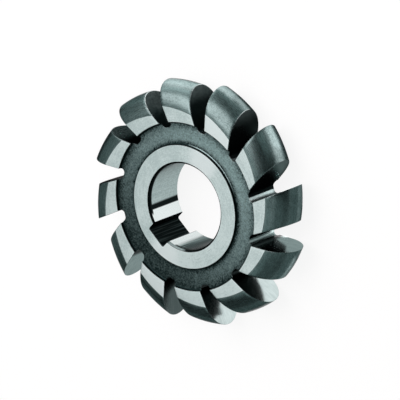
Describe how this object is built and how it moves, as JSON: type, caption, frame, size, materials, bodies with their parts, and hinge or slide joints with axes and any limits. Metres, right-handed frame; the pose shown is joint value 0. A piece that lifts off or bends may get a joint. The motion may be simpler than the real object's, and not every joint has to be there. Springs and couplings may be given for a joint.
{
  "type": "convex radius milling cutter",
  "caption": "Arbor-mounted milling cutter disc with form-relieved half-round teeth, V gullets, a recessed ring in each side and a keyed bore.",
  "frame": {"origin": "centre of the bore at the lower side face, on which the cutter lies", "axes": "+Z along the bore axis and up; -Y points from the bore's centre through the keyway"},
  "size_m": [0.063, 0.063, 0.012],
  "materials": {
    "tool_steel": "light ground lands and tooth flats, dark heat-treated recess, form surfaces and gullets"
  },
  "bodies": {
    "root": {"radius_cutter": "tool_steel"}
  },
  "joints": []
}
